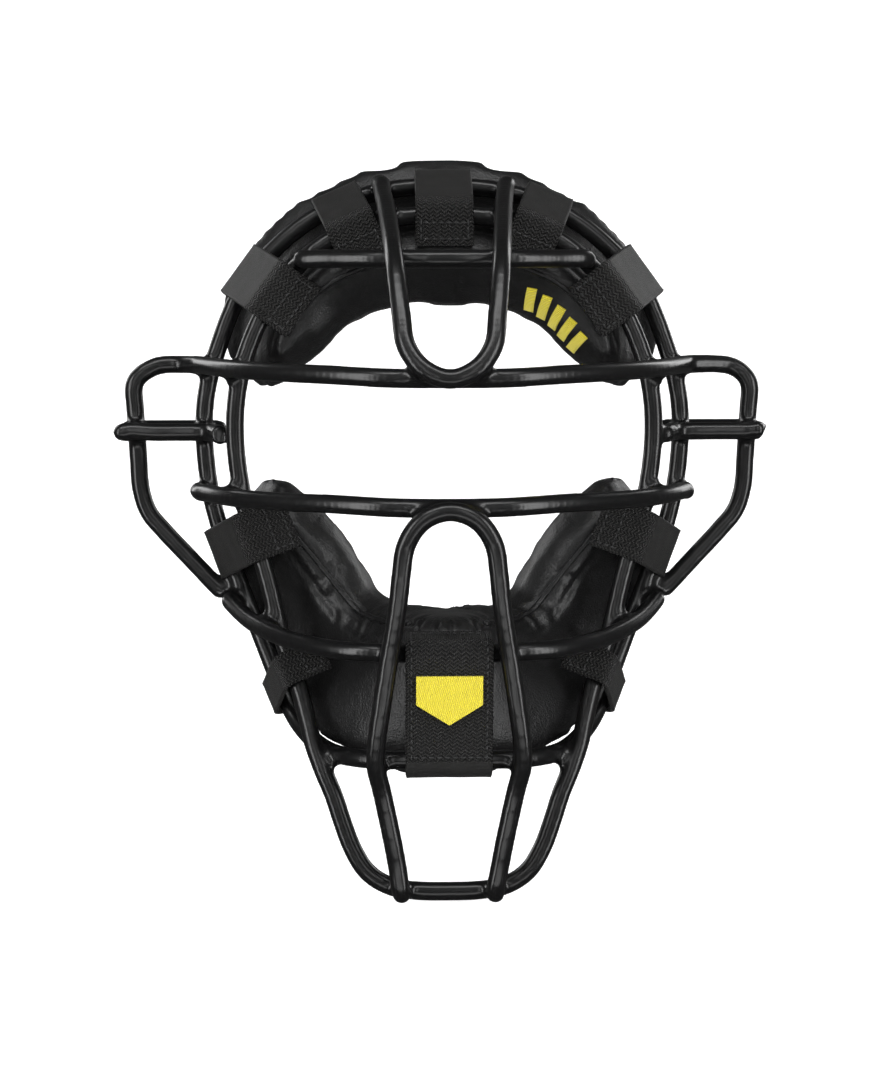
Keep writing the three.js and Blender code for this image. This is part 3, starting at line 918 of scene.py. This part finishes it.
def add_upper_pad():
    obj, nodes = pad_body(UPPER)
    points, normals = coordinates(obj).copy(), vertex_normals(obj)
    points = swell_edge(points, UPPER.run(0.03, 0.97, OUTER), 4.0 * MM, 13 * MM)
    points = panel_puff(UPPER, points, normals, PUFF, 0.53, 0.9)
    points = panel_puff(UPPER, points, normals, PUFF, 0.1, 0.47)
    points = sew_edges(UPPER, points, normals, 0.9 * MM)
    for side in (0.475, 0.525):
        across = [UPPER.corner(side, SEAM, INNER, s) for s in np.linspace(0, 0.88, 20)]
        points = groove(points, normals, across, 1.3 * MM, 1.1 * MM)
    points = gathers(points, normals, UPPER.run(0.06, 0.94, SEAM), 5 * MM, 0.2 * MM, 7 * MM)
    points = soft_lumps(points, normals, 0.35 * MM, 55.0)
    for end in (0, -1):
        points = round_tip(UPPER, points, end)
    move_vertices(obj, press_against(points, PAD_WIRES))
    finish_pad(obj, nodes)
    tree = tree_of(obj)
    add_piping(
        "upper_pad_piping",
        tree,
        [
            UPPER.run(0.12, 0.46, SEAM),
            UPPER.run(0.54, 0.88, SEAM),
            UPPER.run(0.06, 0.94, WEARER),
        ],
        1.1 * MM,
    )
    return tree


def add_lower_pad():
    obj, nodes = pad_body(LOWER)
    points, normals = coordinates(obj).copy(), vertex_normals(obj)
    points = swell_edge(points, LOWER.run(0.06, 0.94, OUTER), 9.5 * MM, 16 * MM)
    points = panel_puff(LOWER, points, normals, PUFF, 0.06, 0.42)
    points = panel_puff(LOWER, points, normals, PUFF, 0.58, 0.94)
    points = sew_edges(LOWER, points, normals, 1.0 * MM)
    points = gathers(points, normals, LOWER.run(0.14, 0.40, SEAM), 9 * MM, 0.5 * MM, 7 * MM)
    points = gathers(points, normals, LOWER.run(0.60, 0.86, SEAM), 9 * MM, 0.5 * MM, 7 * MM)
    points = gathers(points, normals, LOWER.run(0.38, 0.62, SEAM), 6 * MM, 0.8 * MM, 4 * MM)
    points = gathers(points, normals, LOWER.run(0.40, 0.60, INNER), 7 * MM, 0.6 * MM, 4 * MM)
    points = soft_lumps(points, normals, 0.45 * MM, 50.0)
    for end in (0, -1):
        points = round_tip(LOWER, points, end)
    move_vertices(obj, press_against(points, PAD_WIRES))
    finish_pad(obj, nodes)
    add_piping(
        "lower_pad_piping",
        tree_of(obj),
        [
            LOWER.run(0.08, 0.38, SEAM),
            LOWER.run(0.62, 0.92, SEAM),
            LOWER.run(0.06, 0.94, WEARER),
        ],
        1.2 * MM,
    )


UPPER_TREE = add_upper_pad()
add_lower_pad()

# ------------------------------------------------------------------ tabs

# Lengths of the tabs are in millimetres, and angles in degrees.
STRAP_INNER = 4.7
STRAP_THICKNESS = 1.4
EDGE_ROUNDING = 0.45
TAB_FOLDS = {  # angle of the front bend, length of the flap beyond it
    "top_centre": (62, 13),
    "top_side": (66, 13),
    "corner": (66, 13),
    "cheek": (68, 16),
    "jaw": (76, 14),
    "chin": (92, 9),
}
# Length of the strap's leg past the back ring, and of the foot that ends it.
USUAL_LEGS = (4.6, 3.5)
TAB_LEGS = {"cheek": (4.3, 3.5), "jaw": (7, 3), "chin": (16, 0)}
WEAVE_FROM_BACK = 1.5
STITCHED_BLOCK = 7.0
STITCH_INSET = 2.2
STITCH_PITCH = 3.0
STITCH_LENGTH = 2.3
STITCH_RADIUS = 0.4
STITCHES_FROM_END = 2.4


class TabFrame:
    """A tab's own directions: along the strap, out from the wires, and across it."""

    def __init__(self, word):
        self.word = word
        joint = next(j for j in frame["joints"] if j["child"] == "flap_" + word)
        flap = node_mesh("tab_flap_" + word)
        self.across = unit(np.array(joint["axis"], float))
        coords = np.array([v.co[:] for v in flap.verts])
        flat = max(
            (f for f in flap.faces if abs(np.dot(f.normal, self.across)) < 0.5 and f.normal.y < 0),
            key=lambda f: f.calc_area(),
        )
        self.outward = unit(np.array(flat.normal[:]))
        top = np.array(flat.calc_center_median()[:])
        flap.free()
        self.inward = unit(np.cross(self.outward, self.across))
        middle = coords.mean(axis=0)
        hinge = np.array(joint["pos_m"], float)
        if (middle - hinge) @ self.inward < 0:
            self.inward = -self.inward
        self.width = np.ptp(coords @ self.across) / MM
        height = top @ self.outward - (STRAP_INNER + STRAP_THICKNESS) * MM
        along = coords @ self.inward
        start = along.min() - 0.4 * MM
        sideways = 0.5 * ((coords @ self.across).max() + (coords @ self.across).min())
        self.origin = self.inward * start + self.outward * height + self.across * sideways
        on_top = np.abs(coords @ self.outward - top @ self.outward) < 0.02 * MM
        self.span = (along[on_top].max() - start) / MM

    def place(self, along, out, across=0.0):
        return self.origin + MM * (along * self.inward + out * self.outward + across * self.across)


def tab_middle_line(tab, fold, reach, leg, foot):
    """The strap's middle line in millimetres: foot, leg, back bend, span, front bend, flap."""
    r = STRAP_INNER + STRAP_THICKNESS / 2
    points = []
    if foot > 0:
        points += [(-r - foot, -leg + 0.7), (-r - 1.2, -leg + 0.8), (-r - 0.1, -leg + 1.8)]
    else:
        points += [(-r, -leg), (-r, -leg / 2)]
    for angle in np.linspace(180, 90, 9):
        points.append((r * math.cos(math.radians(angle)), r * math.sin(math.radians(angle))))
    for step in np.linspace(0.12, 0.9, 6):
        points.append((tab.span * step, r))
    for angle in np.linspace(90, 90 - fold, 9):
        bend = math.radians(angle)
        points.append((tab.span + r * math.cos(bend), r * math.sin(bend)))
    turn = math.radians(90 - fold)
    tip = (tab.span + r * math.cos(turn), r * math.sin(turn))
    slope = (math.sin(turn), -math.cos(turn))
    for step in np.linspace(0.12, 1.0, 9):
        points.append((tip[0] + reach * step * slope[0], tip[1] + reach * step * slope[1]))
    flat = np.array([(a, b, 0.0) for a, b in points])
    return resample(flat, 0.9)[:, :2]


def ribbon(tab, line, name, across_steps, relief):
    """A closed strip of webbing along a middle line, with rounded edges and woven UVs."""
    tangents = unit_tangents(line)
    normals = np.stack([-tangents[:, 1], tangents[:, 0]], axis=1)
    lengths = lengths_along(line)
    half = tab.width / 2
    ring = []
    for s in np.linspace(-1, 1, across_steps):
        ring.append((s * (half - EDGE_ROUNDING), 1))
    ring.append((half, 0))
    for s in np.linspace(1, -1, across_steps):
        ring.append((s * (half - EDGE_ROUNDING), -1))
    ring.append((-half, 0))
    vertices, uvs = [], []
    for i, (a, b) in enumerate(line):
        for c, side in ring:
            lift = side * STRAP_THICKNESS / 2
            if side == 1:
                lift += relief(lengths[i], c, lengths[-1])
            vertices.append(tab.place(a + normals[i][0] * lift, b + normals[i][1] * lift, c))
            uvs.append((c, lengths[i]))
    n = len(ring)
    faces = loft_faces(len(line), n)
    for base in (0, (len(line) - 1) * n):
        far = base + 2 * across_steps
        for k in range(across_steps - 1):
            faces.append((base + k, base + k + 1, far - 1 - k, far - k))
        faces.append((base + across_steps - 1, base + across_steps, base + across_steps + 1))
        faces.append((base, far, base + n - 1))
    strip = new_object(name, vertices, faces, MATERIALS["webbing"])
    recalculate_normals(strip)
    layer = strip.data.uv_layers.new(name="UVMap")
    for loop in strip.data.loops:
        layer.data[loop.index].uv = uvs[loop.vertex_index]
    return strip


def stitch(centre, along, normal, length, radius):
    """One stitch: a short thread that dips into the webbing at both ends."""
    steps, sides = 5, 6
    vertices, faces = [], []
    side = np.cross(along, normal)
    for i, t in enumerate(np.linspace(-1, 1, steps)):
        middle = centre + along * (t * length / 2) + normal * (radius * 0.9 * (1 - t * t) - 0.5 * radius)
        r = radius * (0.35 + 0.65 * (1 - t * t))
        for k in range(sides):
            turn = 2 * math.pi * k / sides
            vertices.append(middle + r * (math.cos(turn) * side + math.sin(turn) * normal))
    faces += loft_faces(steps, sides)
    faces.append(tuple(range(sides))[::-1])
    faces.append(tuple((steps - 1) * sides + k for k in range(sides)))
    return vertices, faces


def stitch_places(tab, line, lengths, rows):
    """Where a tab's stitches go: down both edges, and across it at each of rows."""
    tangents = unit_tangents(line)
    inset = tab.width / 2 - STITCH_INSET
    first, last = rows[0], rows[-1]
    for at in np.arange(first, last, STITCH_PITCH):
        i = int(np.argmin(np.abs(lengths - at)))
        for across in (-inset, inset):
            yield i, across, tangents[i], False
    for at in rows:
        i = int(np.argmin(np.abs(lengths - at)))
        for across in np.arange(-inset + STITCH_PITCH / 2, inset, STITCH_PITCH):
            yield i, across, tangents[i], True


def add_stitches(tab, line, lengths, rows, name):
    parts = []
    for i, across, tangent, sideways in stitch_places(tab, line, lengths, rows):
        normal_2d = np.array([-tangent[1], tangent[0]])
        place_2d = line[i] + normal_2d * (STRAP_THICKNESS / 2 - 0.02)
        centre = tab.place(place_2d[0], place_2d[1], across)
        along = tab.across if sideways else tangent[0] * tab.inward + tangent[1] * tab.outward
        normal = normal_2d[0] * tab.inward + normal_2d[1] * tab.outward
        parts.append(stitch(centre, along, normal, STITCH_LENGTH * MM, STITCH_RADIUS * MM))
    obj = new_object(name, *join_parts(parts), MATERIALS["sewing"])
    recalculate_normals(obj)
    return obj


def bend_with_flap(obj, tab):
    middle = STRAP_INNER + STRAP_THICKNESS / 2
    tuple(tab.place(-0.8, middle))
    tuple(tab.place(1.2, middle))
    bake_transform(obj)


def add_tab(word):
    kind = word.replace("_left", "").replace("_right", "")
    tab = TabFrame(word)
    fold, reach = TAB_FOLDS[kind]
    leg, foot = TAB_LEGS.get(kind, USUAL_LEGS)
    line = tab_middle_line(tab, fold, reach, leg, foot)
    lengths = lengths_along(line)
    half = tab.width / 2
    on_top = line[:, 1] > STRAP_INNER
    join_at = WEAVE_FROM_BACK if kind == "chin" else tab.span - 1.5
    join = lengths[int(np.argmin(np.abs(line[:, 0] - join_at) + 100.0 * ~on_top))]

    def relief(at, across, total):
        """Hemmed edges stand proud, and the satin ends in a small step over the weave."""
        edge = min(half - abs(across), total - at)
        hem = 0.2 * math.exp(-((edge / 1.1) ** 2))
        step = 0.35 / (1 + math.exp((at - join) * 6))
        sag = 0.12 * noise.noise(Vector((at * 0.16, across * 0.16, half)))
        return hem + step + sag

    steps = max(15, int(tab.width / (0.75)))
    strip = ribbon(tab, line, "tab_" + word, steps, relief)
    for loop in strip.data.uv_layers[0].data:
        loop.uv[1] -= join
    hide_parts("tab_strap_" + word, "tab_flap_" + word)
    bend_with_flap(strip, tab)
    last_row = lengths[-1] - STITCHES_FROM_END
    first_row = join + 2.0 if kind == "chin" else last_row - STITCHED_BLOCK
    stitches = add_stitches(tab, line, lengths, [first_row, last_row], "stitches_" + word)
    bend_with_flap(stitches, tab)


for tab_joint in frame["joints"]:
    add_tab(tab_joint["child"].replace("flap_", ""))

# ------------------------------------------------------------------ loop patches and embroidery

RAY_START = 15 * MM


def stitch_uv(obj):
    """Flat UVs in millimetres across the threads of an embroidered patch."""
    mesh = obj.data
    layer = mesh.uv_layers[0] if mesh.uv_layers else mesh.uv_layers.new(name="UVMap")
    face = max(mesh.polygons, key=lambda f: f.area)
    normal = Vector(face.normal)
    axis = normal.cross(Vector((0.25, 0.0, 1.0))).normalized()
    other = normal.cross(axis)
    for loop in mesh.loops:
        place = mesh.vertices[loop.vertex_index].co
        layer.data[loop.index].uv = (place.dot(axis) / MM, place.dot(other) / MM)


def dress(node, material):
    """Gives a CAD piece that is shown as it is, sharp edges and all, its material."""
    obj = frame["nodes"][node]
    obj.data.materials.clear()
    obj.data.materials.append(MATERIALS[material])


def box_directions(node):
    """The middle of a thin CAD bar, its long and short directions, its normal and half sizes."""
    b = node_mesh(node)
    coords = np.array([v.co[:] for v in b.verts])
    b.free()
    middle = coords.mean(axis=0)
    _, _, directions = np.linalg.svd(coords - middle)
    long, short, normal = directions
    if normal[1] > 0:
        normal = -normal
    half = [np.abs((coords - middle) @ d).max() for d in directions]
    return middle, long, short, normal, half


def drape(node, tree):
    """An embroidered bar laid on the pad, a little thicker along its middle."""
    middle, long, short, normal, half = box_directions(node)
    columns, rows = 25, 11
    start = middle + normal * RAY_START
    top, under, uvs = [], [], []
    for s in np.linspace(-1, 1, columns):
        for t in np.linspace(-1, 1, rows):
            over = start + long * (s * half[0]) + short * (t * half[1])
            place, face_normal, _, _ = tree.ray_cast(Vector(over), Vector(-normal))
            if place is None:
                place, face_normal, _, _ = tree.find_nearest(Vector(over - normal * RAY_START))
            dome = (1 - s**6) * (1 - t**4)
            top.append(np.array(place) + normal * (0.25 + 0.55 * dome) * MM)
            under.append(np.array(place) - normal * 0.3 * MM)
            uvs.append((s * half[0] / MM, t * half[1] / MM))
    count = columns * rows
    faces = []
    for i in range(columns - 1):
        for k in range(rows - 1):
            a = i * rows + k
            faces.append((a, a + rows, a + rows + 1, a + 1))
            faces.append((count + a, count + a + 1, count + a + rows + 1, count + a + rows))
    edge = list(range(rows))
    edge += [i * rows + rows - 1 for i in range(1, columns)]
    edge += [(columns - 1) * rows + k for k in range(rows - 2, -1, -1)]
    edge += [i * rows for i in range(columns - 2, 0, -1)]
    for a, c in zip(edge, edge[1:] + edge[:1]):
        faces.append((a, c, count + c, count + a))
    bar = new_object("embroidered_" + node, top + under, faces, MATERIALS["thread"])
    recalculate_normals(bar)
    layer = bar.data.uv_layers.new(name="UVMap")
    for loop in bar.data.loops:
        layer.data[loop.index].uv = uvs[loop.vertex_index % count]
    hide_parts(node)
    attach(bar, ROOT)


for part in frame["record"]["subparts"]:
    if part["node"].startswith("loop_patch"):
        dress(part["node"], "pile")
    elif part["node"].startswith("pad_stripe"):
        drape(part["node"], UPPER_TREE)
    elif part["material_slot"] == "yellow_thread":
        stitch_uv(frame["nodes"][part["node"]])
        dress(part["node"], "thread")

# ------------------------------------------------------------------ stage and light


def add_stage():
    """A round white sweep under and about the mask. Its glow keeps it white."""
    low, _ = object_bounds()
    floor_z = low[2] - 1.5 * MM
    radius, bend, height, turns = 2.8, 0.9, 2.6, 64
    profile = [(0.35, floor_z), (1.2, floor_z)]
    for k in range(13):
        turn = math.radians(90 * k / 12)
        profile.append((radius - bend + bend * math.sin(turn), floor_z + bend - bend * math.cos(turn)))
    profile.append((radius, floor_z + height))
    vertices = [(0.0, 0.0, floor_z)]
    for r, z in profile:
        for k in range(turns):
            angle = 2 * math.pi * k / turns
            vertices.append((r * math.cos(angle), r * math.sin(angle), z))
    faces = [(0, 1 + k, 1 + (k + 1) % turns) for k in range(turns)]
    for i in range(len(profile) - 1):
        for k in range(turns):
            n = (k + 1) % turns
            start, above = 1 + i * turns, 1 + (i + 1) * turns
            faces.append((start + k, above + k, above + n, start + n))
    m = Nodes("backdrop")
    paper = m.noise(3.0, 2.0)
    material = m.finish(
        Base_Color=(0.92, 0.92, 0.92, 1),
        Roughness=m.spread(paper, 0.85, 0.95),
        Emission_Color=(1, 1, 1, 1),
        Emission_Strength=0.55,
    )
    backdrop = new_object("backdrop", vertices, faces, material)
    backdrop.visible_glossy = False


def add_light(name, location, target, size, power):
    data = bpy.data.lights.new(name, "AREA")
    data.shape = "RECTANGLE"
    data.size, data.size_y = size
    data.energy = power
    light = bpy.data.objects.new(name, data)
    bpy.context.scene.collection.objects.link(light)
    light.location = location
    direction = Vector(target) - Vector(location)
    light.rotation_euler = direction.to_track_quat("-Z", "Y").to_euler()


def add_lights():
    world = bpy.data.worlds.new("world")
    world.use_nodes = True
    background = world.node_tree.nodes["Background"]
    background.inputs["Color"].default_value = (1, 1, 1, 1)
    background.inputs["Strength"].default_value = 0.05
    bpy.context.scene.world = world
    bpy.context.scene.view_settings.view_transform = "Standard"
    centre = (0, 0, -0.03)
    add_light("strip_left", (-1.15, -0.75, 0.1), centre, (0.32, 1.6), 9)
    add_light("strip_right", (1.15, -0.75, 0.1), centre, (0.32, 1.6), 9)
    add_light("front_left", (-0.40, -1.35, 0.45), centre, (0.16, 1.1), 1.6)
    add_light("front_right", (0.40, -1.35, 0.45), centre, (0.16, 1.1), 1.6)
    add_light("top", (0.0, -0.55, 1.15), centre, (1.6, 0.3), 7)
    add_light("low", (0.0, -1.25, -0.62), centre, (1.5, 0.3), 3.0)
    add_light("rear_left", (-0.9, 0.9, 0.4), centre, (0.3, 0.9), 3)
    add_light("rear_right", (0.9, 0.9, 0.4), centre, (0.3, 0.9), 3)


add_stage()
add_lights()
